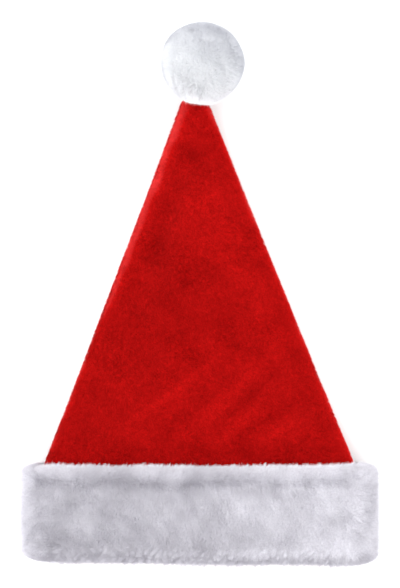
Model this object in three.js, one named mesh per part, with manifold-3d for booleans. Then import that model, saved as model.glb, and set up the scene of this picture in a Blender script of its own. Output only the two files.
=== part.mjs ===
// A santa hat laid on its back: a soft tapering crown of short plush, a deep fur cuff turned round
// its mouth and a stuffed fur pompom sewn on its tip.
// Millimetres. X runs across the hat, Y from its mouth to its pompom, Z up from the surface it lies on.
import * as THREE from "three";
import { LoftGeometry } from "three/addons/geometries/LoftGeometry.js";
import { mergeVertices } from "three/addons/utils/BufferGeometryUtils.js";
import Module from "manifold-3d";

// The crown, laid flat
const CROWN_LENGTH = 315; // from the cuff's top edge to the pompom
const CROWN_WALL = 3; // plush cloth with its short pile
const MOUTH_WIDTH = 272;
const MOUTH_GAP = 14; // between the walls, where the cuff props them apart
const TIP_WIDTH = 25;
const TIP_GAP = 3; // between the walls at the tip
const TIP_SHIFT = -4; // how far the tip leans to the left of the cuff's middle
const TIP_HEIGHT = 24; // from the surface to the middle of the tip
const TIP_END_WALL = 8; // cloth bunched solid behind the seam at the tip
const LOFT = 18; // how far the lying crown swells above its side folds

// The cuff
const CUFF_HEIGHT = 87;
const FACE_PILE = 12; // two layers of fur cloth, on the front and on the back
const SIDE_PILE = 20; // where the fur fans out round the side folds
const CUFF_PRESS = 4; // how far the hat's weight presses the fur below it
const HEM_SETBACK = 8; // from the cuff's rolled edge to the crown's hem inside it
const CUFF_LOCK_RELIEF = 2; // how far the locks of fur stand out
const CUFF_TUFTS = 3.5; // how far the tips along the top edge reach over the crown

// The pompom
const POMPOM_DIAMETER = 72;
const POMPOM_SHIFT = 2.8; // its middle, to the right of the cuff's middle
const POMPOM_PRESS = 2.4; // how far its underside is pressed flat
const TIP_SEAT = 9; // how deep the crown's tip is sewn into the gather
const PLEAT_DEPTH = 1.4;
const PLEAT_REACH = 0.36; // share of the way from the gather to the far side
const POMPOM_LOCK_RELIEF = 1.3;

const FIT_GAP = 0.3; // between pieces that are sewn together

// How finely the soft forms are divided
const CROWN_STEPS = { flat: 16, fold: 6 };
const CUFF_STEPS = { flat: 46, fold: 12 };
const POMPOM_LOCKS = 24; // round the ball
const POMPOM_LOCK_ROWS = 9; // from the gather to the far side
const PLEATS = 12;

// The crown's sections, from the cuff's top edge to the pompom.
// along: share of the crown's length; open: 1 is as far open as the mouth and 0 as the tip;
// rise: share of the loft; onCuff: share of the cuff's bed height; toTip: share of the tip's height.
const CROWN_SECTIONS = [
  { along: 0.0, open: 1.0, rise: 0.0, onCuff: 1.0, toTip: 0.0 },
  { along: 0.03, open: 0.97, rise: 0.04, onCuff: 0.96, toTip: 0.0 },
  { along: 0.07, open: 0.86, rise: 0.2, onCuff: 0.74, toTip: 0.0 },
  { along: 0.11, open: 0.7, rise: 0.45, onCuff: 0.45, toTip: 0.0 },
  { along: 0.16, open: 0.52, rise: 0.72, onCuff: 0.18, toTip: 0.0 },
  { along: 0.21, open: 0.4, rise: 0.88, onCuff: 0.04, toTip: 0.0 },
  { along: 0.27, open: 0.32, rise: 0.97, onCuff: 0.0, toTip: 0.0 },
  { along: 0.34, open: 0.28, rise: 1.0, onCuff: 0.0, toTip: 0.0 },
  { along: 0.41, open: 0.25, rise: 0.99, onCuff: 0.0, toTip: 0.0 },
  { along: 0.48, open: 0.23, rise: 0.95, onCuff: 0.0, toTip: 0.0 },
  { along: 0.55, open: 0.2, rise: 0.89, onCuff: 0.0, toTip: 0.0 },
  { along: 0.62, open: 0.18, rise: 0.81, onCuff: 0.0, toTip: 0.0 },
  { along: 0.69, open: 0.15, rise: 0.71, onCuff: 0.0, toTip: 0.0 },
  { along: 0.76, open: 0.12, rise: 0.59, onCuff: 0.0, toTip: 0.03 },
  { along: 0.82, open: 0.09, rise: 0.46, onCuff: 0.0, toTip: 0.13 },
  { along: 0.88, open: 0.06, rise: 0.31, onCuff: 0.0, toTip: 0.37 },
  { along: 0.94, open: 0.03, rise: 0.14, onCuff: 0.0, toTip: 0.72 },
  { along: 1.0, open: 0.0, rise: 0.0, onCuff: 0.0, toTip: 1.0 },
];

// Soft hollows in the crown's upper side.
// along, long and wide: shares of the crown's length; across: share of half the mouth's width;
// turn: degrees from the hat's length towards its right; deep: share of the loft there, and a
// swelling where it is negative.
const CROWN_DENTS = [
  { along: 0.66, across: -0.24, long: 0.2, wide: 0.035, turn: 20, deep: 0.4 },
  { along: 0.9, across: -0.02, long: 0.05, wide: 0.03, turn: 0, deep: 0.8 },
  { along: 0.2, across: 0.02, long: 0.13, wide: 0.03, turn: 52, deep: 0.17 },
  { along: 0.24, across: 0.34, long: 0.15, wide: 0.03, turn: 50, deep: 0.18 },
  { along: 0.11, across: 0.5, long: 0.12, wide: 0.03, turn: 56, deep: 0.25 },
  { along: 0.13, across: -0.55, long: 0.1, wide: 0.06, turn: -10, deep: 0.25 },
  { along: 0.46, across: 0.12, long: 0.12, wide: 0.06, turn: 10, deep: -0.14 },
];

// The cuff's outer face, from its rolled edge at the mouth to its top edge.
// up: share of the cuff's height; out: share of the pile; locks: share of the locks' relief;
// tufts: share of the reach of the tips along the top edge.
const CUFF_PROFILE = [
  { up: 0.02, out: 0.3, locks: 0.0, tufts: 0.0 },
  { up: 0.0, out: 0.56, locks: 0.2, tufts: 0.0 },
  { up: 0.015, out: 0.82, locks: 0.5, tufts: 0.0 },
  { up: 0.06, out: 0.97, locks: 0.8, tufts: 0.0 },
  { up: 0.12, out: 1.0, locks: 1.0, tufts: 0.0 },
  { up: 0.19, out: 0.97, locks: 1.0, tufts: 0.0 },
  { up: 0.26, out: 0.95, locks: 1.0, tufts: 0.0 },
  { up: 0.34, out: 0.95, locks: 1.0, tufts: 0.0 },
  { up: 0.42, out: 0.96, locks: 1.0, tufts: 0.0 },
  { up: 0.5, out: 0.96, locks: 1.0, tufts: 0.0 },
  { up: 0.58, out: 0.95, locks: 1.0, tufts: 0.0 },
  { up: 0.66, out: 0.94, locks: 1.0, tufts: 0.0 },
  { up: 0.74, out: 0.92, locks: 1.0, tufts: 0.0 },
  { up: 0.81, out: 0.9, locks: 0.9, tufts: 0.0 },
  { up: 0.87, out: 0.97, locks: 1.0, tufts: 0.0 },
  { up: 0.93, out: 0.96, locks: 1.0, tufts: 0.0 },
  { up: 0.98, out: 0.82, locks: 0.9, tufts: 0.7 },
  { up: 1.01, out: 0.56, locks: 0.7, tufts: 1.0 },
  { up: 0.985, out: 0.26, locks: 0.2, tufts: 0.5 },
];

// How the cuff's two edges wander across its width, as shares of its height.
// across: share of half its width; mouth and top: outwards from the straight edge.
const CUFF_EDGES = [
  { across: -1.0, mouth: -0.01, top: 0.02 },
  { across: -0.8, mouth: 0.0, top: 0.0 },
  { across: -0.2, mouth: 0.005, top: -0.01 },
  { across: 0.2, mouth: 0.025, top: -0.01 },
  { across: 0.5, mouth: 0.005, top: -0.005 },
  { across: 0.8, mouth: 0.035, top: 0.02 },
  { across: 1.0, mouth: 0.025, top: 0.045 },
];

const GOLDEN_RATIO = (1 + Math.sqrt(5)) / 2;
const { lerp, clamp, degToRad } = THREE.MathUtils;

const wasm = await Module();
wasm.setup();

/** A number from 0 to 1 that looks random and is the same each time. */
const scatter = (step, row) => (step * GOLDEN_RATIO + row * Math.SQRT2) % 1;

/** A table's column at a place, read straight between its rows. */
function readTable(table, key, column, place) {
  const next = table.findIndex((row) => row[key] >= place);
  if (next < 1) return table.at(next)[column];
  const [a, b] = [table[next - 1], table[next]];
  return lerp(a[column], b[column], (place - a[key]) / (b[key] - a[key]));
}

/** The steps round a tube that lies flat: its underside, left fold, upper side and right fold. */
function ringSteps({ flat, fold }) {
  const side = (name, count) => Array.from({ length: count }, (_, i) => ({ side: name, at: i / count }));
  return [...side("under", flat), ...side("left", fold), ...side("over", flat), ...side("right", fold)];
}

/** How deep the crown's dents are at a place, as a share of its loft there. */
function dentShare(x, y) {
  return CROWN_DENTS.reduce((sum, dent) => {
    const right = x - (dent.across * MOUTH_WIDTH) / 2;
    const up = y - CUFF_HEIGHT - dent.along * CROWN_LENGTH;
    const turn = degToRad(dent.turn);
    const lengthways = (up * Math.cos(turn) + right * Math.sin(turn)) / (dent.long * CROWN_LENGTH);
    const sideways = (right * Math.cos(turn) - up * Math.sin(turn)) / (dent.wide * CROWN_LENGTH);
    return sum + dent.deep * Math.exp(-(lengthways ** 2) - sideways ** 2);
  }, 0);
}

/**
 * The point (x, z) at one step round a lying tube, moved out from its surface by grow. The underside is
 * level, the folds are half circles, and the upper side swells and is dented between them.
 */
function lyingPoint({ y, middle, width, depth, rise, floor }, { side, at }, grow) {
  const fold = depth / 2;
  const level = width / 2 - fold;
  if (side === "under") return new THREE.Vector2(middle + lerp(level, -level, at), floor - grow);
  if (side === "over") {
    const across = lerp(-1, 1, at);
    const x = middle + across * level;
    const inward = 1 - across ** 2;
    const swell = rise * (inward ** 1.5 - inward * dentShare(x, y));
    return new THREE.Vector2(x, floor + depth + grow + swell);
  }
  const angle = side === "left" ? -Math.PI / 2 - Math.PI * at : Math.PI / 2 - Math.PI * at;
  const centre = new THREE.Vector2(middle + (side === "left" ? -level : level), floor + fold);
  const outward = new THREE.Vector2(Math.cos(angle), Math.sin(angle));
  return centre.addScaledVector(outward, fold + grow);
}

/** A closed three.js geometry as a manifold-3d solid. */
function solidOf(geometry) {
  const bare = new THREE.BufferGeometry();
  bare.setAttribute("position", geometry.attributes.position);
  bare.setIndex(geometry.index);
  const merged = mergeVertices(bare);
  const vertProperties = merged.attributes.position.array;
  return new wasm.Manifold(new wasm.Mesh({ numProp: 3, vertProperties, triVerts: merged.index.array }));
}

/** A named mesh of a manifold-3d solid. */
function meshOf(name, solid, material) {
  const { vertProperties, triVerts } = solid.getMesh();
  const geometry = new THREE.BufferGeometry();
  geometry.setAttribute("position", new THREE.BufferAttribute(vertProperties, 3));
  geometry.setIndex(new THREE.BufferAttribute(triVerts, 1));
  geometry.computeVertexNormals();
  const mesh = new THREE.Mesh(geometry, material);
  mesh.name = name;
  return mesh;
}

const bedHeight = FACE_PILE + FIT_GAP - CUFF_PRESS; // from the surface to the crown inside the cuff
const mouthDepth = MOUTH_GAP + 2 * CROWN_WALL;
const tipDepth = TIP_GAP + 2 * CROWN_WALL;
const tipY = CUFF_HEIGHT + CROWN_LENGTH;
const pompomRadius = POMPOM_DIAMETER / 2;
const tip = new THREE.Vector3(TIP_SHIFT, tipY, TIP_HEIGHT);
const pompomCentre = new THREE.Vector3(POMPOM_SHIFT, tipY, pompomRadius - POMPOM_PRESS);
pompomCentre.y += Math.sqrt(pompomRadius ** 2 - pompomCentre.distanceToSquared(tip));

/** The crown inside the cuff, which holds it straight. */
const mouthSection = (y) => ({
  y,
  middle: 0,
  width: MOUTH_WIDTH,
  depth: mouthDepth,
  rise: 0,
  floor: bedHeight,
});

/** The crown's section at a share of its length. */
function crownSection(along) {
  const read = (column) => readTable(CROWN_SECTIONS, "along", column, along);
  return {
    y: CUFF_HEIGHT + along * CROWN_LENGTH,
    middle: along * TIP_SHIFT,
    width: lerp(MOUTH_WIDTH, TIP_WIDTH, along),
    depth: lerp(tipDepth, mouthDepth, read("open")),
    rise: read("rise") * LOFT,
    floor: read("onCuff") * bedHeight + read("toTip") * (TIP_HEIGHT - tipDepth / 2),
  };
}

/** The tip inside the pompom's gather, pointing at the ball's middle. */
function neckSection(deep) {
  const centre = tip.clone().lerp(pompomCentre, deep / pompomRadius);
  return {
    y: centre.y,
    middle: centre.x,
    width: TIP_WIDTH,
    depth: tipDepth,
    rise: 0,
    floor: centre.z - tipDepth / 2,
  };
}

/** A closed solid through sections of the lying crown. */
function loftCrown(sections, grow) {
  const steps = ringSteps(CROWN_STEPS);
  const rings = sections.map((section) =>
    steps.map((step) => {
      const { x, y: z } = lyingPoint(section, step, grow);
      return new THREE.Vector3(x, section.y, z);
    }),
  );
  return solidOf(new LoftGeometry(rings, { capStart: true, capEnd: true }));
}

/** The crown: a tapering tube with a wall, open at its hem and solid where its tip is bunched. */
function makeCrown() {
  const alongs = CROWN_SECTIONS.map(({ along }) => along);
  const shown = alongs.map(crownSection);
  const body = loftCrown([mouthSection(HEM_SETBACK), ...shown, neckSection(TIP_SEAT)], 0);
  const hollowEnd = 1 - TIP_END_WALL / CROWN_LENGTH;
  const inside = [...alongs.filter((along) => along < hollowEnd), hollowEnd].map(crownSection);
  return body.subtract(loftCrown([mouthSection(0), ...inside], -CROWN_WALL));
}

/** The crown's tip with room round it, to be cut out of the pompom. */
function makeTipSeat() {
  const nearTip = 1 - pompomRadius / CROWN_LENGTH;
  const alongs = CROWN_SECTIONS.map(({ along }) => along).filter((along) => along > nearTip);
  return loftCrown([...alongs.map(crownSection), neckSection(TIP_SEAT + FIT_GAP)], FIT_GAP);
}

/** 1 on the middle of a side fold and 0 on the hat's front and back. */
const sideness = ({ side, at }) => (side === "left" || side === "right" ? Math.sin(Math.PI * at) : 0);

/** How far a lock of fur stands out: every other step is a lock's ridge, and the rows are staggered. */
function lockHeight(step, row) {
  const ridge = (step + Math.floor(row / 2)) % 2 === 0;
  const tipOfLock = row % 2 === 1;
  const height = (ridge ? 0.6 : 0) + (ridge && tipOfLock ? 0.4 : 0);
  return height * lerp(0.35, 1, scatter(Math.floor(step / 2), Math.floor(row / 2)));
}

/** The cuff: a ring of fur cloth round the mouth, with locks on its outer face and a seat for the hem. */
function makeCuff() {
  const steps = ringSteps(CUFF_STEPS);
  const halfWidth = MOUTH_WIDTH / 2 + SIDE_PILE;
  const ringAt = (place) =>
    steps.map((step, i) => {
      const { up, out } = place(step, i);
      const { x, y: z } = lyingPoint(mouthSection(0), step, out);
      const across = clamp(x / halfWidth, -1, 1);
      const [mouth, top] = ["mouth", "top"].map((edge) => readTable(CUFF_EDGES, "across", edge, across));
      const wander = (top * up - mouth * (1 - up)) * clamp(out / FACE_PILE, 0, 1);
      return new THREE.Vector3(x, (up + wander) * CUFF_HEIGHT, Math.max(z, 0));
    });
  const outside = CUFF_PROFILE.map(({ up, out, locks, tufts }, row) =>
    ringAt((step, i) => {
      const lock = lockHeight(i, row);
      const pile = lerp(FACE_PILE, SIDE_PILE, sideness(step));
      const relief = (lock * locks - 0.5) * CUFF_LOCK_RELIEF;
      return { up: up + (lock * tufts * CUFF_TUFTS) / CUFF_HEIGHT, out: out * pile + relief };
    }),
  );
  const hem = (HEM_SETBACK - FIT_GAP) / CUFF_HEIGHT;
  const inside = [
    { up: 0.9, out: FIT_GAP },
    { up: 0.5, out: FIT_GAP },
    { up: hem, out: FIT_GAP },
    { up: hem, out: -CROWN_WALL },
    { up: hem / 2, out: -CROWN_WALL },
  ].map((place) => ringAt(() => place));
  const rings = [...outside, ...inside];
  return solidOf(new LoftGeometry([...rings, rings[0]]));
}

/** How strong the pleats are: none in the middle of the gather or beyond their reach, most half way. */
const pleatShare = (fromGather) => Math.sin(Math.PI * Math.min(fromGather / PLEAT_REACH, 1));

/** The pompom: a ball of locks, pleated at its gather, flat where it rests, with a seat for the tip. */
function makePompom() {
  const columns = POMPOM_LOCKS * 2;
  const rows = POMPOM_LOCK_ROWS * 2;
  const ball = new THREE.SphereGeometry(1, columns, rows);
  const toGather = tip.clone().sub(pompomCentre).normalize();
  const turn = new THREE.Quaternion().setFromUnitVectors(new THREE.Vector3(0, 1, 0), toGather);
  const points = ball.attributes.position;
  for (let i = 0; i < points.count; i++) {
    const row = Math.floor(i / (columns + 1));
    const step = (i % (columns + 1)) % columns;
    const fromGather = row / rows;
    const lock = lockHeight(step, row) * Math.sin(Math.PI * fromGather) * POMPOM_LOCK_RELIEF;
    const wave = Math.cos((2 * Math.PI * PLEATS * step) / columns);
    const pleat = wave * pleatShare(fromGather) * PLEAT_DEPTH;
    const radius = pompomRadius - POMPOM_LOCK_RELIEF / 2 + lock + pleat;
    const point = new THREE.Vector3().fromBufferAttribute(points, i).applyQuaternion(turn);
    point.multiplyScalar(radius).add(pompomCentre);
    points.setXYZ(i, point.x, point.y, Math.max(point.z, 0));
  }
  return solidOf(ball).subtract(makeTipSeat());
}

const redPlush = new THREE.MeshStandardMaterial({ color: 0xb81218, roughness: 0.92, metalness: 0 });
const whiteFur = new THREE.MeshStandardMaterial({ color: 0xe8e6ee, roughness: 0.95, metalness: 0 });

const hat = new THREE.Group();
hat.add(
  meshOf("crown", makeCrown(), redPlush),
  meshOf("cuff", makeCuff(), whiteFur),
  meshOf("pompom", makePompom(), whiteFur),
);

// The origin is on the surface, under the middle of the whole hat.
const bounds = new THREE.Box3().setFromObject(hat, true);
const middle = bounds.getCenter(new THREE.Vector3());
hat.position.set(-middle.x, -middle.y, -bounds.min.z);

export default hat;
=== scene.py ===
# %% [markdown]
# # A santa hat laid on its back
# The hat is sewn from three pieces: a long tapering crown of short red plush, a deep cuff of white fur
# cloth turned round its mouth, and a stuffed ball of the same fur cloth on its tip. It lies flat, seen
# from straight above. The solids give the places and the sizes, and this script gives each piece its
# cloth, its pile of real hairs and its colour.

# %% Load the frame
import itertools

import bpy
import numpy as np
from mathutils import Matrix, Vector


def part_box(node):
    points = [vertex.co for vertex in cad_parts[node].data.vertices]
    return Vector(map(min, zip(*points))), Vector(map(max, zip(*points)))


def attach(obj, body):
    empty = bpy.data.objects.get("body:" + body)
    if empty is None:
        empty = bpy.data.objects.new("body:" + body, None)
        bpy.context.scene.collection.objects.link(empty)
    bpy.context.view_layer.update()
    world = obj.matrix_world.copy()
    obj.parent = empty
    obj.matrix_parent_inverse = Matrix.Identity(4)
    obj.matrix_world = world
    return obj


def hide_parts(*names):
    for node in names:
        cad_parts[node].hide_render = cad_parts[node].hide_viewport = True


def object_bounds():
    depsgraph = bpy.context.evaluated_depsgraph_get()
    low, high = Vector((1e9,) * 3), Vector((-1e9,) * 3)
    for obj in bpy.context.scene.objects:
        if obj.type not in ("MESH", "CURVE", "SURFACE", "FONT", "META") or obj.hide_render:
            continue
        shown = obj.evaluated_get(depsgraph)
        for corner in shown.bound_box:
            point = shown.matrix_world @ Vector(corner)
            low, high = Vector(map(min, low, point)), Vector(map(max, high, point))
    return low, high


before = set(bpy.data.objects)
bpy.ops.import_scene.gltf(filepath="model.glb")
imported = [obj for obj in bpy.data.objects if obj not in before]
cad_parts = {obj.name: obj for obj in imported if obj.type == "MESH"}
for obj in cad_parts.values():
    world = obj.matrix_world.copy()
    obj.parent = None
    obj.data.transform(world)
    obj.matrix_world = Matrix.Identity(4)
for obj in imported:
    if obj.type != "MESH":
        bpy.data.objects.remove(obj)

MM = 0.001
cad_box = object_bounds()
print("the solids measure", [round((b - a) / MM, 1) for a, b in zip(*cad_box)], "mm")

# %% [markdown]
# ## Camera
# The photograph looks straight down, and its sides run parallel, so the camera hangs far above the hat
# with a long lens. The lens follows from how many millimetres one pixel covers at the height of the
# fur's widest line. The hat lies a hair's breadth left of the picture's middle.

# %% Hang the camera
PICTURE_ROWS = 588
PIXEL = 0.874 * MM
SENSOR = 36.0
CAMERA_HEIGHT = 2000 * MM
WIDEST_LINE = 20 * MM
CAMERA_RIGHT = 0.65 * MM
camera_data = bpy.data.cameras.new("camera")
camera_data.sensor_width = SENSOR
camera_data.lens = SENSOR * (CAMERA_HEIGHT - WIDEST_LINE) / (PICTURE_ROWS * PIXEL)
camera = bpy.data.objects.new("camera", camera_data)
camera.location = ((cad_box[0].x + cad_box[1].x) / 2 + CAMERA_RIGHT, 0, CAMERA_HEIGHT)
bpy.context.scene.collection.objects.link(camera)
bpy.context.scene.camera = camera
print("the lens is", round(camera_data.lens), "mm")

# %% [markdown]
# ## Sizes that the solids share
# The cloth has to lie inside the same envelope as the solids, so their sizes and their table of
# sections are repeated here. A place along the hat is measured from the cuff's rolled edge.

# %% Shared sizes
CROWN_LENGTH, CROWN_WALL = 315 * MM, 3 * MM
MOUTH_WIDTH, MOUTH_DEPTH = 272 * MM, 20 * MM
TIP_WIDTH, TIP_DEPTH, TIP_HEIGHT = 25 * MM, 9 * MM, 24 * MM
TIP_SHIFT, TIP_END_WALL, TIP_SEAT = -4 * MM, 8 * MM, 9 * MM
LOFT, BED_HEIGHT = 18 * MM, 8.3 * MM
CUFF_HEIGHT, FACE_PILE, SIDE_PILE, HEM_SETBACK = 87 * MM, 12 * MM, 20 * MM, 8 * MM
POMPOM_RADIUS, POMPOM_SHIFT, POMPOM_PRESS = 36 * MM, 2.8 * MM, 2.4 * MM

# Shares along the crown: how open it is, how far its upper side swells, how far it lies on the cuff's
# bed, and how far it has risen to the tip.
CROWN_SECTIONS = {
    "along": (0, .03, .07, .11, .16, .21, .27, .34, .41, .48, .55, .62, .69, .76, .82, .88, .94, 1),
    "open": (1, .97, .86, .7, .52, .4, .32, .28, .25, .23, .2, .18, .15, .12, .09, .06, .03, 0),
    "rise": (0, .04, .2, .45, .72, .88, .97, 1, .99, .95, .89, .81, .71, .59, .46, .31, .14, 0),
    "on_cuff": (1, .96, .74, .45, .18, .04, 0, 0, 0, 0, 0, 0, 0, 0, 0, 0, 0, 0),
    "to_tip": (0, 0, 0, 0, 0, 0, 0, 0, 0, 0, 0, 0, 0, .03, .13, .37, .72, 1),
}

crown_low, crown_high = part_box("crown")
MIDDLE = (crown_low.x + crown_high.x) / 2
ROLLED_EDGE = crown_low.y - HEM_SETBACK
tip = np.array([MIDDLE + TIP_SHIFT, ROLLED_EDGE + CUFF_HEIGHT + CROWN_LENGTH, TIP_HEIGHT])
pompom_centre = np.array([MIDDLE + POMPOM_SHIFT, tip[1], POMPOM_RADIUS - POMPOM_PRESS])
pompom_centre[1] += np.sqrt(POMPOM_RADIUS**2 - np.sum((pompom_centre - tip) ** 2))
print("the rolled edge is at", round(ROLLED_EDGE / MM, 1), "mm and the pompom at", pompom_centre / MM)

# %% [markdown]
# ## A table read softly
# The sections join in straight lines. Cloth has no such corners, so every reading is the mean of
# several readings a little apart, which rounds each corner and leaves the straight runs alone.


# %% Read a table softly
def read(table, key, column, place, soften=0.02):
    """The column at these places, straight between its rows, as the mean of seven readings across
    twice the softening."""
    steps = np.linspace(-soften, soften, 7)
    return np.mean([np.interp(place + step, table[key], table[column]) for step in steps], axis=0)


def blend(low, high, share):
    """low where the share is 0 and high where it is 1."""
    return low + (high - low) * share


def bump(distance, width):
    """A bell: 1 at no distance, falling as exp(-(distance / width) squared)."""
    return np.exp(-((distance / width) ** 2))


def unit(vectors):
    """Each vector divided by its own length."""
    return vectors / np.maximum(np.linalg.norm(vectors, axis=-1, keepdims=True), 1e-12)


# %% [markdown]
# ## The lying crown as a function
# The crown is a tube that lies flat: a level underside, two folds and an upper side that swells. A point
# on it needs two numbers, how far round it is and how far along. A third number, how far it is moved
# out, gives the cloth's inner and outer faces and the tips of the pile. The photograph shows soft
# hollows, mostly running from lower left to upper right, and the table names them one by one.

# %% Crown form
# Hollows in the upper side, as in the solids: place, size and turn, and depth as a share of the swell.
CROWN_DENTS = {
    "along": (.66, .9, .2, .24, .11, .13, .46),
    "across": (-.24, -.02, .02, .34, .5, -.55, .12),
    "long": (.2, .05, .13, .15, .12, .1, .12),
    "wide": (.035, .03, .03, .03, .03, .06, .06),
    "turn": (20, 0, 52, 50, 56, -10, 10),
    "deep": (.4, .8, .17, .18, .25, .25, -.14),
}
# Slow waves that keep the cloth from being even: radians to a metre across and along, and where it starts.
UNEVEN_WAVES = ((140, 60, 0), (-70, 130, 2), (210, -120, 4), (60, 240, 5))
UNEVEN_HEIGHT = 0.25 * MM


def turned_bells(table, x, y, size):
    """The sum of turned bells: each has its own middle, length, width and turn, and its own depth."""
    total = np.zeros(np.broadcast(x, y).shape)
    for along, across, length, width, turn, deep in zip(*table.values()):
        right = x - MIDDLE - across * MOUTH_WIDTH / 2
        up = y - CUFF_HEIGHT - along * size
        cosine, sine = np.cos(np.radians(turn)), np.sin(np.radians(turn))
        lengthways, sideways = up * cosine + right * sine, right * cosine - up * sine
        total = total + deep * bump(lengthways, length * size) * bump(sideways, width * size)
    return total


def crown_section(y):
    """Middle, width, depth, swell and floor of the crown at places along the hat. Inside the cuff it is
    straight, then it follows its table, and past the tip it points at the pompom's middle."""
    along = (y - CUFF_HEIGHT) / CROWN_LENGTH
    past = np.clip(y - CUFF_HEIGHT - CROWN_LENGTH, 0, None) / (pompom_centre[1] - tip[1])
    place = np.clip(along, 0, 1)
    open_share, rise, on_cuff, to_tip = (
        read(CROWN_SECTIONS, "along", column, place) for column in ("open", "rise", "on_cuff", "to_tip")
    )
    depth = blend(TIP_DEPTH, MOUTH_DEPTH, open_share)
    middle = MIDDLE + place * TIP_SHIFT + past * (pompom_centre[0] - tip[0])
    floor = on_cuff * BED_HEIGHT + to_tip * (TIP_HEIGHT - TIP_DEPTH / 2) + past * (pompom_centre[2] - tip[2])
    return middle, blend(MOUTH_WIDTH, TIP_WIDTH, place), depth, rise * LOFT, floor


def lying_ring(section, around, out, swell=0.0):
    """x and z on a lying tube. around runs 0-1 along the underside from right to left, 1-2 round the
    left fold, 2-3 along the upper side and 3-4 round the right fold. The point is on a half circle
    about the fold, or straight above or below the line between the two folds' middles."""
    middle, width, depth, rise, floor = section
    around = np.mod(around, 4)
    across = np.interp(around, (0, 1, 2, 3, 4), (1, -1, -1, 1, 1))
    angle = np.radians(np.interp(around, (0, 1, 2, 3, 4), (-90, -90, -270, -270, -450)))
    fold = depth / 2
    inward = np.where((around > 2) & (around < 3), 1 - across**2, 0)
    x = middle + across * (width / 2 - fold) + (fold + out) * np.cos(angle)
    z = floor + fold + (fold + out) * np.sin(angle) + rise * inward**1.5 + swell * inward
    return x, z, np.abs(np.cos(angle)) * (fold > 0)


def crown_form(around, y, out):
    """The crown's surface moved out. Its swell has the named hollows and a sum of slow waves."""
    section = crown_section(y)
    x_flat = lying_ring(section, around, out)[0]
    uneven = sum(np.sin(x_flat * a + y * b + start) for a, b, start in UNEVEN_WAVES)
    swell = -section[3] * turned_bells(CROWN_DENTS, x_flat, y, CROWN_LENGTH) + UNEVEN_HEIGHT * uneven
    x, z, _ = lying_ring(section, around, out, swell)
    return np.stack(np.broadcast_arrays(x, y + ROLLED_EDGE, z), axis=-1)


print("the crown's folds lie at x", crown_form(np.array([1.5, 3.5]), 90 * MM, 0.0)[:, 0] / MM, "mm")

# %% [markdown]
# ## Meshes from arrays
# Each surface is worked out as one array of points. Two helpers turn arrays into meshes: one joins
# neighbouring rows of rings into faces and closes both ends, and one puts points and faces into a new
# object. A closed piece's volume comes out positive only if its faces point outwards, so it is printed.


# %% Mesh helpers
def ring_faces(rows, columns):
    """Four-sided faces between neighbouring rings, each ring closed on itself, then a fan at each end
    round one extra point."""
    row, column = np.meshgrid(np.arange(rows - 1), np.arange(columns), indexing="ij")
    beside = (column + 1) % columns
    quads = np.stack([row * columns + column, row * columns + beside], -1).reshape(-1, 2)
    quads = np.concatenate([quads, quads[:, ::-1] + columns], axis=1)
    edge = np.arange(columns)
    first, last = rows * columns, rows * columns + 1
    start = np.stack([np.full(columns, first), (edge + 1) % columns, edge], -1)
    end = (rows - 1) * columns + np.stack([edge, (edge + 1) % columns], -1)
    end = np.concatenate([end, np.full((columns, 1), last)], axis=1)
    return quads, np.concatenate([start, end])


def make_piece(name, points, *face_arrays, smooth=True):
    """A new object at the origin from an array of points and arrays of faces."""
    mesh = bpy.data.meshes.new(name)
    corners = np.concatenate([faces.ravel() for faces in face_arrays])
    sizes = np.concatenate([np.full(len(faces), faces.shape[1]) for faces in face_arrays])
    mesh.vertices.add(len(points))
    mesh.vertices.foreach_set("co", points.astype(np.float32).ravel())
    mesh.loops.add(len(corners))
    mesh.loops.foreach_set("vertex_index", corners.astype(np.int32))
    mesh.polygons.add(len(sizes))
    mesh.polygons.foreach_set("loop_start", (np.cumsum(sizes) - sizes).astype(np.int32))
    mesh.update(calc_edges=True)
    mesh.polygons.foreach_set("use_smooth", np.full(len(sizes), smooth))
    piece = bpy.data.objects.new(name, mesh)
    bpy.context.scene.collection.objects.link(piece)
    return piece


def volume_of(points, quads, triangles):
    """Volume inside a closed surface: a sixth of each triangle's box product, summed."""
    halves = np.concatenate([quads[:, [0, 1, 2]], quads[:, [0, 2, 3]], triangles])
    a, b, c = (points[halves[:, i]] for i in range(3))
    return float(np.einsum("ij,ij->i", a, np.cross(b, c)).sum() / 6)


def closed_piece(name, rings):
    """A closed object through rings of points, each end drawn in to the middle of its last ring."""
    rows, columns = rings.shape[:2]
    points = np.concatenate([rings.reshape(-1, 3), rings[:1].mean(1), rings[-1:].mean(1)])
    quads, fans = ring_faces(rows, columns)
    volume = volume_of(points, quads, fans)
    if volume < 0:
        quads, fans, volume = quads[:, ::-1], fans[:, ::-1], -volume
    print(name, "holds", round(volume / MM**3 / 1000, 1), "cm3 in", 2 * len(quads) + len(fans), "triangles")
    return make_piece(name, points, quads, fans)


# %% [markdown]
# ## The crown's cloth
# The real crown is a plush cloth about 1.5 mm thick below its pile, sewn up as a tube. It could be one
# sheet with a Solidify modifier. Here the form function already knows how to move out and in, so
# the outer face, the hem and the inner face are one run of rings, closed at the tip and inside it.

# %% Make the crown's cloth
PLUSH_PILE = 1.6 * MM
HEM_ROUND = 0.7 * MM
NECK_INTO_POMPOM = TIP_SEAT - 2 * MM
tip_place = CUFF_HEIGHT + CROWN_LENGTH
around_steps = np.concatenate(
    [side + np.linspace(0, 1, count, endpoint=False) for side, count in enumerate((44, 14, 100, 14))]
)
neck_places = np.linspace(tip_place + NECK_INTO_POMPOM, tip_place, 5)[:-1]
outer_places = np.concatenate([neck_places, np.linspace(tip_place, HEM_SETBACK, 170)])
inner_places = np.linspace(HEM_SETBACK, tip_place - TIP_END_WALL, 70)


def crown_rings(places, out):
    """Rings of the crown at these places, all moved out by the same amount."""
    return crown_form(around_steps[None, :], places[:, None], out)


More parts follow.
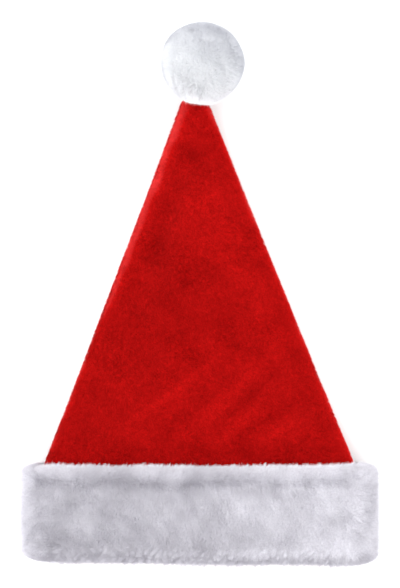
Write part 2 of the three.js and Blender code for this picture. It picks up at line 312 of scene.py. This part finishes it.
crown_rows = [
    crown_rings(outer_places, -PLUSH_PILE),
    crown_rings(np.array([HEM_SETBACK - HEM_ROUND]), -(PLUSH_PILE + CROWN_WALL) / 2),
    crown_rings(inner_places, -CROWN_WALL),
]
crown_cloth = closed_piece("crown_cloth", np.concatenate(crown_rows))

# %% [markdown]
# ## The cuff's fur as a function
# The cuff is a band of fur cloth, folded double round the mouth. A point in its pile needs three
# numbers: how far round, how far along from the lip inside the mouth over the face to the lip inside
# the top edge, and how high in the pile, 0 on the cloth and 1 at the hairs' tips. The tips follow the
# solids' face: a rolled edge, a long soft face, a shallow groove and a plump welt along the top.

# %% Cuff form
# Place along the face; then height up the cuff and share of the pile, for the tips and for the cloth.
CUFF_FACE = {
    "along": (0, .04, .08, .12, .17, .25, .35, .5, .65, .75, .81, .86, .9, .94, .97, 1),
    "tip_up": (.03, 0, .015, .06, .12, .22, .34, .5, .65, .74, .785, .855, .93, .98, 1.01, .985),
    "tip_out": (.22, .56, .82, .97, 1, .99, .98, .98, .98, .97, .945, .98, .99, .86, .58, .28),
    "cloth_up": (.05, .03, .035, .065, .13, .22, .34, .5, .65, .74, .785, .845, .895, .935, .955, .94),
    "cloth_out": (.12, .28, .44, .54, .6, .62, .62, .62, .62, .61, .585, .61, .6, .5, .33, .16),
}
# How far the two edges wander outwards, as shares of the cuff's height, by share of its half width.
CUFF_EDGES = {
    "across": (-1, -.8, -.2, .2, .5, .8, 1),
    "mouth": (-.03, -.03, -.005, .02, .005, .035, .02),
    "top": (.02, -.045, -.067, -.068, -.06, -.03, .03),
}
CUFF_HALF_WIDTH = MOUTH_WIDTH / 2 + SIDE_PILE
CUFF_CORNER = 0.12  # how far its side corners are rounded, as a share of its height
CORNER_LEAST = 0.15  # how much of the side's pile is left at the very corner
FOLD_FILL = 1.25  # how much further out everything lies in the pile round the folds
SIDE_SWELL = 1.07  # the combed hairs' tips stand a little past the solid at both sides
FACE_SOFTEN, EDGE_SOFTEN = 0.015, 0.08
mouth_ring = crown_section(np.array(0.0))


def cuff_point(around, up, out):
    """A point of the cuff: out is a share of the pile, which deepens round the folds and is plumper
    there, up is a share of the height, and both edges wander. Nothing sinks below the surface that the
    hat lies on."""
    side = lying_ring(mouth_ring, around, 0.0)[2]
    past_straight = np.clip((np.abs(up - 0.5) - 0.5 + CUFF_CORNER) / CUFF_CORNER, 0, 0.9)
    corner = CORNER_LEAST + (1 - CORNER_LEAST) * np.sqrt(1 - past_straight**2)
    deep = blend(FACE_PILE, SIDE_PILE * SIDE_SWELL * corner, side)
    pile = blend(out, np.minimum(FOLD_FILL * out, 1), side) * deep
    x, z, _ = lying_ring(mouth_ring, around, pile)
    across = np.clip((x - MIDDLE) / CUFF_HALF_WIDTH, -1, 1)
    top, mouth = (read(CUFF_EDGES, "across", edge, across, EDGE_SOFTEN) for edge in ("top", "mouth"))
    y = ROLLED_EDGE + (up + (top * up - mouth * (1 - up)) * np.clip(out, 0, 1)) * CUFF_HEIGHT
    return np.stack(np.broadcast_arrays(x, y, np.maximum(z, 0.0)), axis=-1)


def cuff_pile(around, along, height):
    """A point in the cuff's pile, straight between the cloth and the tips."""
    tip_up, tip_out, cloth_up, cloth_out = (
        read(CUFF_FACE, "along", column, along, FACE_SOFTEN)
        for column in ("tip_up", "tip_out", "cloth_up", "cloth_out")
    )
    return cuff_point(around, blend(cloth_up, tip_up, height), blend(cloth_out, tip_out, height))


print("the cuff's face is", round(float(cuff_pile(2.5, 0.5, 1.0)[2] / MM), 1), "mm above the surface")

# %% [markdown]
# ## The cuff's cloth
# The fur's cloth backing shows only between the hairs, but it stops the eye from looking through them
# and gives the band its body. It is a closed ring: the cloth's face, then back down just outside the
# crown.

# %% Make the cuff's cloth
CUFF_INSIDE = 0.03  # how far the ring's inner side stays off the crown, as a share of the pile
cuff_around = np.concatenate(
    [side + np.linspace(0, 1, count, endpoint=False) for side, count in enumerate((90, 20, 110, 20))]
)[:, None]
face_places = np.linspace(0, 1, 60)[None, :]
back_up = np.linspace(0.92, 0.1, 24)[None, :]
cuff_face = cuff_pile(cuff_around, face_places, 0.0)
cuff_rows = np.concatenate([cuff_face, cuff_point(cuff_around, back_up, CUFF_INSIDE)], axis=1)


def closed_band(name, rows):
    """A closed object from a grid that is joined to itself both ways."""
    across, along = rows.shape[:2]
    first, second = np.meshgrid(np.arange(across), np.arange(along), indexing="ij")
    beside, ahead = (first + 1) % across, (second + 1) % along
    corners = ((first, second), (beside, second), (beside, ahead), (first, ahead))
    quads = np.stack([a * along + b for a, b in corners], axis=-1).reshape(-1, 4)
    points = rows.reshape(-1, 3)
    volume = volume_of(points, quads, quads[:0, :3])
    if volume < 0:
        quads, volume = quads[:, ::-1], -volume
    print(name, "holds", round(volume / MM**3 / 1000, 1), "cm3 in", 2 * len(quads), "triangles")
    return make_piece(name, points, quads)


cuff_cloth = closed_band("cuff_cloth", cuff_rows)

# %% [markdown]
# ## The pompom's fur as a function
# The pompom is a bag of fur cloth drawn together round the crown's tip and stuffed hard. Seen from its
# middle a point has a turn round the gather's axis and a fall away from the gather. Pleats run out from
# the gather, and the bag is dimpled where the tip is sewn in and flat where it rests.

# %% Pompom form
POMPOM_CORE = 33.5 * MM
GATHER_DIMPLE = 6 * MM
PLEATS = 17
PLEAT_DEPTH = 2.2 * MM
PLEAT_WIDTH = 0.13
FUR_PROUD = 0.8 * MM
LUMP_HEIGHT = 0.25 * MM
DRAWN_OUT, DRAWN_IN = 1.5 * MM, 1.8 * MM  # towards the gather, and at the far end
gather_axis = unit(tip - pompom_centre)
pompom_right = unit(np.cross([0, 0, 1], gather_axis))
pompom_up = np.cross(gather_axis, pompom_right)


def crease(turn, fall):
    """1 in the middle of a crease and 0 between them: narrow bells round the gather, unevenly spaced and
    of uneven length, longest at the left."""
    place = turn * PLEATS / (2 * np.pi) + 0.3 * np.sin(3 * turn + 1)
    reach = 0.5 + 0.2 * np.sin(np.floor(place) * 2.4) - 0.25 * np.cos(turn)
    return bump(np.mod(place, 1) - 0.5, PLEAT_WIDTH) * bump(fall - 0.4, reach)


def pompom_pile(turn, fall, height):
    """A point in the pompom's pile: the middle plus a radius times the direction that turn and fall
    give. Creases and slow waves take from the radius, and the ball is a little drawn out towards the
    gather and drawn in at its far end."""
    turn, fall, height = np.broadcast_arrays(turn, fall, height)
    pleat = crease(turn, fall) * PLEAT_DEPTH
    lumps = LUMP_HEIGHT * (np.sin(3 * turn + 5 * fall) + np.sin(4 * turn - 7 * fall + 2)) * np.sin(fall)
    teardrop = DRAWN_OUT * bump(fall - 0.5, 0.25) - DRAWN_IN * np.clip(-np.cos(fall), 0, 1) ** 2
    outer = POMPOM_RADIUS + FUR_PROUD - pleat + teardrop + lumps
    core = POMPOM_CORE - pleat + teardrop - GATHER_DIMPLE * bump(fall, 0.45)
    radius = blend(core, outer, height)[..., None]
    around = np.cos(turn)[..., None] * pompom_right + np.sin(turn)[..., None] * pompom_up
    way = np.cos(fall)[..., None] * gather_axis + np.sin(fall)[..., None] * around
    point = pompom_centre + radius * way
    point[..., 2] = np.maximum(point[..., 2], 0)
    return point


turns = np.linspace(0, 2 * np.pi, 96, endpoint=False)[None, :]
POLE = 0.04
falls = np.linspace(POLE, np.pi - POLE, 60)[:, None]
pompom_core = closed_piece("pompom_core", pompom_pile(turns, falls, 0.0))

# %% [markdown]
# ## Where hairs grow
# Hairs spread evenly by area, so each cell of the surface gets them in proportion to its area. Fur also
# parts into tufts: neighbouring hairs lean together and their tips gather. Space is cut into cubes, each
# holding one tuft's middle at random, and a hair belongs to the nearest one, which works on any form.


# %% Scatter hairs and find their tufts
def scatter(form, around, along, count, rng):
    """Places for hairs, even by area and in order of place: a cell is drawn by its share of the whole
    area, then a point in the cell."""
    columns, rows = 200, 160
    a, b = np.linspace(*around, columns + 1), np.linspace(*along, rows + 1)
    corners = form(a[:, None], b[None, :], 0.5)
    edges = corners[1:, :-1] - corners[:-1, :-1], corners[:-1, 1:] - corners[:-1, :-1]
    area = np.linalg.norm(np.cross(*edges), axis=-1).ravel()
    cell = np.searchsorted(np.cumsum(area) / area.sum(), np.sort(rng.random(count)))
    column, row = np.divmod(cell, rows)
    around_at = a[column] + rng.random(count) * (a[1] - a[0])
    along_at = b[row] + rng.random(count) * (b[1] - b[0])
    return around_at, along_at, area.sum()


CELL_WEIGHTS = np.array([[127.1, 311.7, 74.7], [269.5, 183.3, 246.1], [113.5, 271.9, 124.6]])
LARGE = 43758.5453


def cell_numbers(cells, seed):
    """Three numbers from 0 to 1 that each cube of space keeps: the fraction of a large sine."""
    return np.mod(np.sin(cells @ CELL_WEIGHTS + seed) * LARGE, 1)


def nearest_tuft(points, size, seed):
    """The nearest tuft's middle, among the cube round a point and its 26 neighbours, and the tuft's own
    three numbers."""
    cell = np.floor(points / size).astype(int)
    best = np.full(len(points), np.inf)
    middle, numbers = np.zeros_like(points), np.zeros_like(points)
    for step in itertools.product((-1, 0, 1), repeat=3):
        spot = (cell + step + cell_numbers(cell + step, seed)) * size
        gap = np.linalg.norm(points - spot, axis=1)
        nearer = gap < best
        best[nearer], middle[nearer] = gap[nearer], spot[nearer]
        numbers[nearer] = cell_numbers(cell[nearer] + step, seed + 1)
    return middle, numbers


def slow_waves(points, size, seed):
    """Two smooth numbers, about -1 to 1, over space: each the mean of five sine waves of this size in
    their own directions."""
    draw = np.random.default_rng(seed)
    ways = unit(draw.normal(size=(2, 5, 3))) * (2 * np.pi / size) * draw.uniform(0.7, 1.5, (2, 5, 1))
    phases = draw.uniform(0, 2 * np.pi, (2, 5))
    return np.sin(np.einsum("nk,cwk->ncw", points, ways) + phases).mean(-1) * 1.6


# %% [markdown]
# ## Hairs as blades
# A hair could be a curve with a thickness, but a hat has hundreds of thousands. So each hair is one thin
# triangle, from two points beside its root to its tip. Blades that face many ways shade softly together,
# as fur does. Every blade also gets its own small cell in a map, which keeps its colours when the finish
# is painted onto pictures.


# %% Grow hairs
FLOOR_GAP = 0.1 * MM
LONGEST = 1.03  # the tallest hair, as a share of the way from the cloth to the tips
NARROWEST, WIDEST = 0.7, 1.3  # shares of a style's width
# SHADES bounds the painted shade: below 0 it is painted light, above 0 painted shade.
SHADES = (-0.5, 1)  # the lightest and the darkest that a piece may ask for
BLADE_IN_CELL = np.array([[0.05, 0.05], [0.95, 0.05], [0.5, 0.95]])


def give_numbers(mesh, values):
    """Stores each named array as one number at each point of the mesh."""
    for key, numbers in values.items():
        mesh.attributes.new(key, "FLOAT", "POINT").data.foreach_set("value", numbers.astype(np.float32))


def blade_piece(name, root, tip_points, half_width, tone, shade):
    """One object of blades, each from its root less and plus half its width to its tip. A point holds a
    height, 0 at the root and 1 at the tip, its hair's tone and its painted shade."""
    hairs = len(root)
    points = np.stack([root - half_width, root + half_width, tip_points], axis=1)
    points[..., 2] = np.maximum(points[..., 2], FLOOR_GAP)
    piece = make_piece(name, points.reshape(-1, 3), np.arange(3 * hairs).reshape(-1, 3))
    heights = np.tile([0.0, 0.0, 1.0], hairs)
    give_numbers(piece.data, {"height": heights, "tone": np.repeat(tone, 3), "shade": np.repeat(shade, 3)})
    cells = int(np.ceil(np.sqrt(hairs)))
    row, column = np.divmod(np.arange(hairs), cells)
    uv = (BLADE_IN_CELL + np.stack([column, row], -1)[:, None]) / cells
    piece.data.uv_layers.new(name="OFBake").data.foreach_set("uv", uv.astype(np.float32).ravel())
    print(name, "has", hairs, "hairs")
    return piece


def grow_hairs(name, form, around, along, count, seed, style):
    """Hairs over part of a form. The tip is the root plus the way out plus a sideways lean, which sums
    a fixed lie, slow waves, the tuft's own lean, the pull to the tuft's middle and a random share.
    Hairs at a tuft's edge are shorter, and a few wisps are longer than the rest."""
    rng = np.random.default_rng(seed)
    a, b, area = scatter(form, around, along, count, rng)
    root = form(a, b, 0.0)
    out = form(a, b, 1.0) - root
    step = 1e-4
    side = unit(form(a + step, b, 0.6) - form(a - step, b, 0.6))
    up = unit(form(a, b + step, 0.6) - form(a, b - step, 0.6))
    normal = unit(np.cross(side, up))
    normal *= np.sign(np.einsum("ij,ij->i", normal, out))[:, None]
    middle, numbers = nearest_tuft(root, style["tuft"], seed)
    pull = middle - root
    pull -= normal * np.einsum("ij,ij->i", pull, normal)[:, None]
    edge = np.clip(np.linalg.norm(pull, axis=1) / style["tuft"], 0, 1)
    sway = style["wave_lean"] * slow_waves(root, style["wave"], seed + 1)
    sway += style["tuft_lean"] * (2 * numbers[:, :2] - 1) + style["stray"] * rng.normal(size=(count, 2))
    sway += np.stack(style["lie"](a, b), axis=-1)
    lateral = side * sway[:, :1] + up * sway[:, 1:] + style["gather"] * pull
    reach = blend(style["shortest"], LONGEST, rng.random(count)) * (1 - style["round_off"] * edge**2)
    reach += style["wisps"] * rng.random(count) ** 8
    tip_points = root + out * reach[:, None] + lateral
    half_width = style["width"] * blend(NARROWEST, WIDEST, rng.random(count)) / 2
    across = unit(np.cross(lateral + 0.05 * MM * side, normal)) * half_width[:, None]
    print(name, "grows", round(count / (area / MM**2), 2), "hairs on a square millimetre")
    tone = blend(numbers[:, 2], rng.random(count), style["own_tone"])
    return blade_piece(name, root, tip_points, across, tone, np.clip(style["shade"](root), *SHADES))


# %% [markdown]
# ## The crown's pile
# Plush pile is about 2 mm of dense fibre that lies over one way. It could be drawn as a bump pattern,
# but real short hairs also soften the hat's outline and catch some light along the folds, where a
# painted highlight adds more. One triangle does for each hair. The nap drifts slowly, and the cloth's
# soft bands of sheen and shade are painted over it.

# %% Grow the crown's pile
CROWN_PILE_FROM = CUFF_HEIGHT - 6 * MM
CROWN_PILE_TO = tip_place + 1 * MM
PILE_PROUD = 0.2 * MM


def crown_pile(around, y, height):
    """A point in the plush pile, straight from the cloth to just past the solids' envelope."""
    return crown_form(around, y, blend(-PLUSH_PILE, PILE_PROUD, height))


def plush_lie(around, y):
    """The nap lies a little to the right and down towards the cuff."""
    return 0.5 * MM + 0 * y, -1.3 * MM + 0 * y


# Painted sheen and shade on the plush: darker where deep is positive, lighter where it is negative. In
# turn: a painted light upper right and tip, a painted dark left half, painted shade in the hollows,
# slanting painted sheen streaks at the lower right, painted shade in the furrows between them, and a
# painted shadow line over the cuff.
PAINTED_SHEEN_AND_SHADE = {
    "along": (.69, .47, .96, .42, .86, .75, .62, .51, .55, .4, .39, .2, .18, .1, .1, .15, .18, .13, .11, .03),
    "across": (
        .04, .36, 0, -.22, -.03, -.19, -.27, -.08, .39, .5,
        .18, -.17, .17, .23, .53, -.05, .31, .45, -.74, 0,
    ),
    "long": (.13, .12, .05, .2, .06, .06, .06, .03, .03, .03, .04, .15, .15, .08, .07, .09, .1, .08, .05, .5),
    "wide": (
        .09, .04, .05, .15, .03, .03, .035, .025, .02, .02,
        .02, .018, .018, .016, .018, .018, .015, .014, .03, .03,
    ),
    "turn": (-20, -21, 0, 21, 75, 21, 21, 40, 60, 90, 80, 53, 48, 45, 60, 50, 46, 55, 21, 90),
    "deep": (-.5, -.45, -.4, .25, .4, .35, .4, .45, .5, .45, .4, -.6, -.55, -.6, -.6, .3, .35, .35, .35, .4),
}


def plush_painted_light(root):
    """Painted sheen and shade: the named bands, slow patches and a painted highlight along each fold,
    strongest at the left and widest in its upper half."""
    y = root[:, 1] - ROLLED_EDGE
    painted_bands = turned_bells(PAINTED_SHEEN_AND_SHADE, root[:, 0], y, CROWN_LENGTH)
    middle, width, *_ = crown_section(y)
    from_fold = width / 2 - np.abs(root[:, 0] - middle)
    left = root[:, 0] < middle
    high = left * np.clip((y - CUFF_HEIGHT) / CROWN_LENGTH * 10 - 4, 0, 1)
    # edge is a painted highlight along each fold.
    edge = (0.65 + 0.3 * left + 0.1 * high) * bump(from_fold, (5 - left + 5 * high) * MM)
    return 0.5 + 0.6 * painted_bands + 0.1 * slow_waves(root, 30 * MM, 5)[:, 0] - edge


PLUSH = {
    "width": 0.55 * MM, "shortest": 0.7, "stray": 0.35 * MM, "tuft": 2 * MM, "tuft_lean": 0.6 * MM,
    "gather": 0.1, "round_off": 0.25, "wave": 40 * MM, "wave_lean": 0.6 * MM, "own_tone": 0.65,
    "wisps": 0.0, "lie": plush_lie, "shade": plush_painted_light,
}
crown_run = (CROWN_PILE_FROM, CROWN_PILE_TO)
crown_pile_front = grow_hairs("crown_pile_front", crown_pile, (1.4, 3.6), crown_run, 180_000, 11, PLUSH)
crown_pile_back = grow_hairs("crown_pile_back", crown_pile, (3.6, 5.4), crown_run, 90_000, 12, PLUSH)

# %% [markdown]
# ## The cuff's fur
# The cuff's fur stands about 4 mm out of its cloth, and deeper at both sides, in soft tufts about as wide
# as it is long. Along both edges it fans out: down past the rolled edge, where some of it hangs in
# slanting locks, and up over the red plush in short wisps that slant to the right. The underside is
# pressed flat by the hat's weight.


# %% Grow the cuff's fur
def fur_lie(around, along):
    """Hairs lie down towards the rolled edge, and stand up and to the right along the top."""
    up = np.clip((along - 0.8) / 0.15, 0, 1)
    return 2.2 * MM * up + 0.5 * MM, blend(-1.8, 4, up) * MM


def fur_painted_light(root):
    """Painted light and shade: soft grey patches and a broken line of painted shade along the groove under
    the welt, both fainter to the right, a face painted lighter towards the right, a painted highlight on
    the left end, painted shade on the right one, and slanting tufts and a painted shadow line along the
    rolled edge."""
    patches, specks = slow_waves(root, 38 * MM, 6), slow_waves(root, 13 * MM, 8)[:, 0]
    tufts = slow_waves(root @ [[1, 0, 0], [-0.6, 0.35, 0], [0, 0, 1]], 4 * MM, 9)[:, 0]
    right = np.clip((root[:, 0] - MIDDLE) / CUFF_HALF_WIDTH, -1, 1)
    up = (root[:, 1] - ROLLED_EDGE) / CUFF_HEIGHT
    fainter = 1 - 0.5 * np.clip(right, 0, 1)
    # Painted shade in the groove under the welt.
    painted_groove_shade = bump(up - 0.75 + 0.045 * right, 0.04) * (0.35 + 0.35 * patches[:, 1])
    painted_groove_shade *= 1 - bump(np.abs(right) - 1, 0.2)
    # A painted highlight on the left end, and painted shade on the right end and its top corner.
    painted_left_highlight, painted_right_shade = bump(right + 1, 0.12), 0.35 * bump(right - 1, 0.08)
    painted_right_shade += 0.6 * bump(right - 1, 0.25) * bump(up - 1, 0.15)
    grey = (0.3 * patches[:, 0] + painted_groove_shade) * fainter
    # The face is painted lighter towards the right.
    face = 0.72 - 0.95 * np.clip(right + 0.05, 0, 0.7) + grey + 0.12 * specks
    ends = blend(face, SHADES[0], painted_left_highlight) + painted_right_shade
    # The last term is a painted shadow line along the rolled edge.
    return ends + 0.7 * bump(up, 0.14) * tufts + 1.5 * bump(up, 0.08)


FUR = {
    "width": 0.42 * MM, "shortest": 0.85, "stray": 1.3 * MM, "tuft": 4 * MM, "tuft_lean": 0.4 * MM,
    "gather": 0.06, "round_off": 0.06, "wave": 26 * MM, "wave_lean": 1 * MM, "own_tone": 0.7,
    "wisps": 0.4, "lie": fur_lie, "shade": fur_painted_light,
}
cuff_fur_front = grow_hairs("cuff_fur_front", cuff_pile, (1.5, 3.5), (0, 1), 185_000, 21, FUR)
cuff_fur_back = grow_hairs("cuff_fur_back", cuff_pile, (3.5, 5.5), (0, 1), 120_000, 22, FUR)


def wisp_lie(around, along):
    """Wisps reach up over the plush and to the right."""
    return 4.5 * MM + 0 * along, 5 * MM + 0 * along


def hem_lie(around, along):
    """The locks along the rolled edge hang down and to the left."""
    return -2.5 * MM + 0 * along, -3 * MM + 0 * along


# The hairs of a lock lean and gather together, so these styles change only a few of the fur's values.
LOCKS = {**FUR, "tuft_lean": 2 * MM, "stray": 0.6 * MM, "own_tone": 0.2, "round_off": 0.3}
WISPS = {**LOCKS, "tuft": 2.4 * MM, "gather": 0.5, "lie": wisp_lie}
HEM_LOCKS = {**LOCKS, "tuft": 4.5 * MM, "gather": 0.7, "lie": hem_lie}
cuff_wisps = grow_hairs("cuff_wisps", cuff_pile, (1.7, 3.3), (0.93, 1), 8_000, 23, WISPS)
cuff_hem_locks = grow_hairs("cuff_hem_locks", cuff_pile, (2, 3.2), (0.02, 0.22), 16_000, 24, HEM_LOCKS)

# %% [markdown]
# ## The pompom's fur
# The same fur, trimmed shorter, so that the ball looks smooth and only fine tufts show. Its hairs lean
# away from the gather.


# %% Grow the pompom's fur
def pompom_lie(turn, fall):
    """Hairs lean away from the gather, but close to it they hang over the crown's tip, furthest in one
    lock at the front."""
    lock = bump(turn - 1.75, 0.2)
    return 0 * fall, 0.8 * MM * np.sin(fall) - (2.4 + 3 * lock) * MM * bump(fall - 0.4, 0.2)


def ball_painted_light(root):
    """Painted light and shade: painted shade towards the upper right, in a thin rim and in the creases, a
    painted light towards the gather, and soft patches."""
    way = unit(root - pompom_centre)
    fall, turn = np.arccos(way @ gather_axis), np.arctan2(way @ pompom_up, way @ pompom_right)
    # Painted shade grows towards the upper right, in a thin rim and in the creases; painted light grows
    # towards the gather.
    upper_right = way @ unit(np.array([0.5, 1, 0]))
    painted_rim_shade = 0.25 * (1 - np.clip(way[:, 2], 0, 1)) ** 2 + 0.7 * bump(way[:, 2] - 0.1, 0.22)
    painted_crease_shade = crease(turn, fall) * (0.45 - 0.5 * np.cos(turn))
    painted_gather_light = 0.12 - 0.85 * bump(fall, 1.1)
    return np.maximum(upper_right, -0.3) + painted_gather_light + painted_rim_shade + painted_crease_shade + 0.12 * slow_waves(root, 18 * MM, 7)[:, 0]


BALL = {
    "width": 0.38 * MM, "shortest": 0.88, "stray": 1.2 * MM, "tuft": 4 * MM, "tuft_lean": 0.2 * MM,
    "gather": 0.05, "round_off": 0.04, "wave": 20 * MM, "wave_lean": 0.3 * MM, "own_tone": 0.6,
    "wisps": 0.1, "lie": pompom_lie, "shade": ball_painted_light,
}
whole_ball = ((0, 2 * np.pi), (0.02, np.pi - 0.02))
pompom_fur = grow_hairs("pompom_fur", pompom_pile, *whole_ball, 150_000, 31, BALL)

# %% [markdown]
# ## The cloth under the pile
# Where the pile parts, and at the mouth's lips, the cloth under it shows. It takes the same painted light
# and shade as its pile, and a middle tone.


# %% Shade the cloth like its pile
def shade_cloth(piece, shade_of):
    """Each point of the cloth gets the pile's painted light and shade at its place and the tone 0.5."""
    mesh = piece.data
    points = np.empty(len(mesh.vertices) * 3, np.float32)
    mesh.vertices.foreach_get("co", points)
    shade = np.clip(shade_of(points.reshape(-1, 3).astype(float)), *SHADES)
    give_numbers(mesh, {"shade": shade, "tone": np.full(len(shade), 0.5)})
    print(piece.name, "has a mean shade of", round(float(shade.mean()), 2))


shade_cloth(crown_cloth, plush_painted_light)
shade_cloth(cuff_cloth, fur_painted_light)
shade_cloth(pompom_core, ball_painted_light)

# %% [markdown]
# ## Finishes as expressions
# A finish is a graph of nodes. Written node by node it is long, so a small class stands for one socket:
# sums and products of such sockets add Math nodes, and one method adds any other node.


# %% A socket that can be reckoned with
class Socket:
    """One output of a node. Arithmetic on it adds Math nodes and gives a new Socket."""

    def __init__(self, tree, output=None):
        self.tree, self.output = tree, output

    def node(self, kind, settings=None, inputs=None, output=0):
        """Adds a node, first sets its settings, then gives its inputs values or links, and returns one
        of its outputs."""
        made = self.tree.nodes.new(kind)
        for name, value in (settings or {}).items():
            setattr(made, name, value)
        for name, value in (inputs or {}).items():
            if isinstance(value, Socket):
                self.tree.links.new(value.output, made.inputs[name])
            else:
                made.inputs[name].default_value = value
        return Socket(self.tree, made.outputs[output])

    def maths(self, operation, first, second):
        return self.node("ShaderNodeMath", {"operation": operation}, {0: first, 1: second})

    def __add__(self, other):
        return self.maths("ADD", self, other)

    def __sub__(self, other):
        return self.maths("SUBTRACT", self, other)

    def __rsub__(self, other):
        return self.maths("SUBTRACT", other, self)

    def __mul__(self, other):
        return self.maths("MULTIPLY", self, other)

    __radd__, __rmul__ = __add__, __mul__

    def ranged(self, low, high, new_low=0.0, new_high=1.0):
        """The value taken from one range to another, and held inside it."""
        ranges = {"From Min": low, "From Max": high, "To Min": new_low, "To Max": new_high}
        return self.node("ShaderNodeMapRange", {"clamp": True}, {"Value": self, **ranges})

    def mixed(self, low, high):
        """One colour where this value is 0 and another where it is 1."""
        return self.node("ShaderNodeMix", {"data_type": "RGBA"}, {0: self, 6: low, 7: high}, output=2)

    def noise(self, size, detail=2.0, roughness=0.5):
        """Noise over space whose lumps are about this wide, read from this vector."""
        inputs = {"Vector": self, "Scale": 1 / size, "Detail": detail, "Roughness": roughness}
        return self.node("ShaderNodeTexNoise", {}, inputs)


def new_finish(name, sheen, sheen_tint):
    """A new material with one main shader and a soft sheen, and the shader and the place to read from."""
    material = bpy.data.materials.new(name)
    material.use_nodes = True
    tree = material.node_tree
    shader = next(node for node in tree.nodes if node.type == "BSDF_PRINCIPLED")
    shader.inputs["Sheen Weight"].default_value = sheen
    shader.inputs["Sheen Tint"].default_value = (*sheen_tint, 1)
    shader.inputs["Sheen Roughness"].default_value = 0.5
    shader.inputs["Specular IOR Level"].default_value = 0.06
    shader.inputs["Roughness"].default_value = 0.9
    place = Socket(tree).node("ShaderNodeTexCoord", {}, {}, output="Object")
    return material, shader, place


def attribute(place, name):
    """A number that the mesh holds at each point."""
    return place.node("ShaderNodeAttribute", {"attribute_name": name}, {}, output="Fac")


def paint(shader, name, value):
    """Links a value into one of the shader's sockets."""
    value.tree.links.new(value.output, shader.inputs[name])


# %% [markdown]
# ## Finishes
# White fur isn't pure white: it is a cool, faintly lilac white at the tips, and a painted shade makes it
# greyer down between the hairs. Red plush is a strong red, with painted sheen and shade over it. So
# each pile needs only two colours and a share that says how much of the darker one each point has, and
# the plush has a third colour for a painted gleam.

# %% Mix the fur and the plush
# Each pile's second colour is the one that it takes under full painted shade.
WHITE, WHITE_SHADE = (.93, .92, .965, 1), (.59, .575, .625, 1)
TRIMMED, TRIMMED_SHADE = (.97, .98, 1, 1), (.6, .61, .66, 1)
# The plush's third red is a painted highlight for the gleam along its folds.
RED, RED_SHADE, RED_PAINTED_GLEAM = (.71, .008, .007, 1), (.30, .0008, .0008, 1), (.87, .1, .1, 1)


def pile_finish(name, light_colour, shade_colour, patch, own, fine, sheen, sheen_tint, painted_gleam_colour=None):
    """Pile between a light colour and a darker one. The share of the darker one sums the piece's painted
    light and shade, small lumps, each hair's tone (as much as own says), a fine grain (as much as fine
    says, most where the pile is light) and a painted shade deeper in the pile. Where the painted shade is
    below 0 the pile may also take a painted highlight in a third colour."""
    material, shader, place = new_finish(name, sheen, sheen_tint)
    height, tone, shade = (attribute(place, key) for key in ("height", "tone", "shade"))
    lumps = place.noise(patch, 3.0, 0.6).ranged(0.35, 0.65)
    grain = (place.noise(1.6 * MM, 1.0).ranged(0.35, 0.65) - 0.5) * (1.2 - shade) * fine
    # (1 - height) * 0.15 is a painted shade deeper in the pile, between the hairs.
    share = shade * 0.6 + lumps * 0.12 + tone * own + grain + (1 - height) * 0.15
    colour = share.mixed(light_colour, shade_colour)
    # A painted highlight: where the painted shade is low the colour leans towards the gleam colour.
    if painted_gleam_colour:
        colour = shade.ranged(0.1, SHADES[0], 0.0, 0.4).mixed(colour, painted_gleam_colour)
    paint(shader, "Base Color", colour)
    return material


cuff_finish = pile_finish("cool_white_fur", WHITE, WHITE_SHADE, 11 * MM, 0.3, 0.3, 0.15, (.9, .9, 1))
pompom_finish = pile_finish("trimmed_white_fur", TRIMMED, TRIMMED_SHADE, 9 * MM, 0.08, 0.1, 0.15, (.9, .9, 1))
crown_finish = pile_finish("red_plush", RED, RED_SHADE, 6 * MM, 0.37, 0.24, 0.15, (1, .03, .02), RED_PAINTED_GLEAM)

cuff_pieces = (cuff_cloth, cuff_fur_front, cuff_fur_back, cuff_wisps, cuff_hem_locks)
SLOTS = {
    "crown_plush": (crown_finish, "crown", (crown_cloth, crown_pile_front, crown_pile_back)),
    "cuff_fur": (cuff_finish, "cuff", cuff_pieces),
    "pompom_fur": (pompom_finish, "pompom", (pompom_core, pompom_fur)),
}
for slot, (finish, node, pieces) in SLOTS.items():
    for piece in pieces:
        piece.data.materials.append(finish)
        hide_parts(node)
        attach(piece, "root")

# %% [markdown]

# %% [markdown]
# ## Floor and light
# A pale floor and soft light: an even sky for most of it, and one large lamp at the left, which gives
# each fold and tuft a brighter left side.

# %% Lay the floor and hang the lamps
FLOOR_HALF = 3000 * MM
SKY_STRENGTH = 1.7
LAMP_PLACE, LAMP_SIDE, LAMP_POWER = (-1.6, -0.1, 1.3), 1.0, 8
floor_corners = FLOOR_HALF * np.array([[-1, -1, 0], [1, -1, 0], [1, 1, 0], [-1, 1, 0]])
floor = make_piece("floor", floor_corners, np.array([[0, 1, 2, 3]]), smooth=False)
floor_finish, floor_shader, _ = new_finish("pale_floor", 0.0, (1, 1, 1))
floor_shader.inputs["Base Color"].default_value = (.96, .96, .96, 1)
floor.data.materials.append(floor_finish)

world = bpy.data.worlds.new("sky")
world.use_nodes = True
world.node_tree.nodes["Background"].inputs["Color"].default_value = (1, 1, 1, 1)
world.node_tree.nodes["Background"].inputs["Strength"].default_value = SKY_STRENGTH
bpy.context.scene.world = world


def hang_lamp(name, place, target, size, power, colour=(1, 1, 1)):
    """A square lamp at one place that faces another."""
    lamp_data = bpy.data.lights.new(name, "AREA")
    lamp_data.size, lamp_data.energy, lamp_data.color = size, power, colour
    lamp = bpy.data.objects.new(name, lamp_data)
    lamp.location = place
    lamp.rotation_euler = (lamp.location - type(lamp.location)(target)).to_track_quat("Z", "Y").to_euler()
    bpy.context.scene.collection.objects.link(lamp)


hang_lamp("key_lamp", LAMP_PLACE, (0, 0, 0), LAMP_SIDE, LAMP_POWER, (1, .98, .96))
bpy.context.scene.view_settings.view_transform = "Standard"
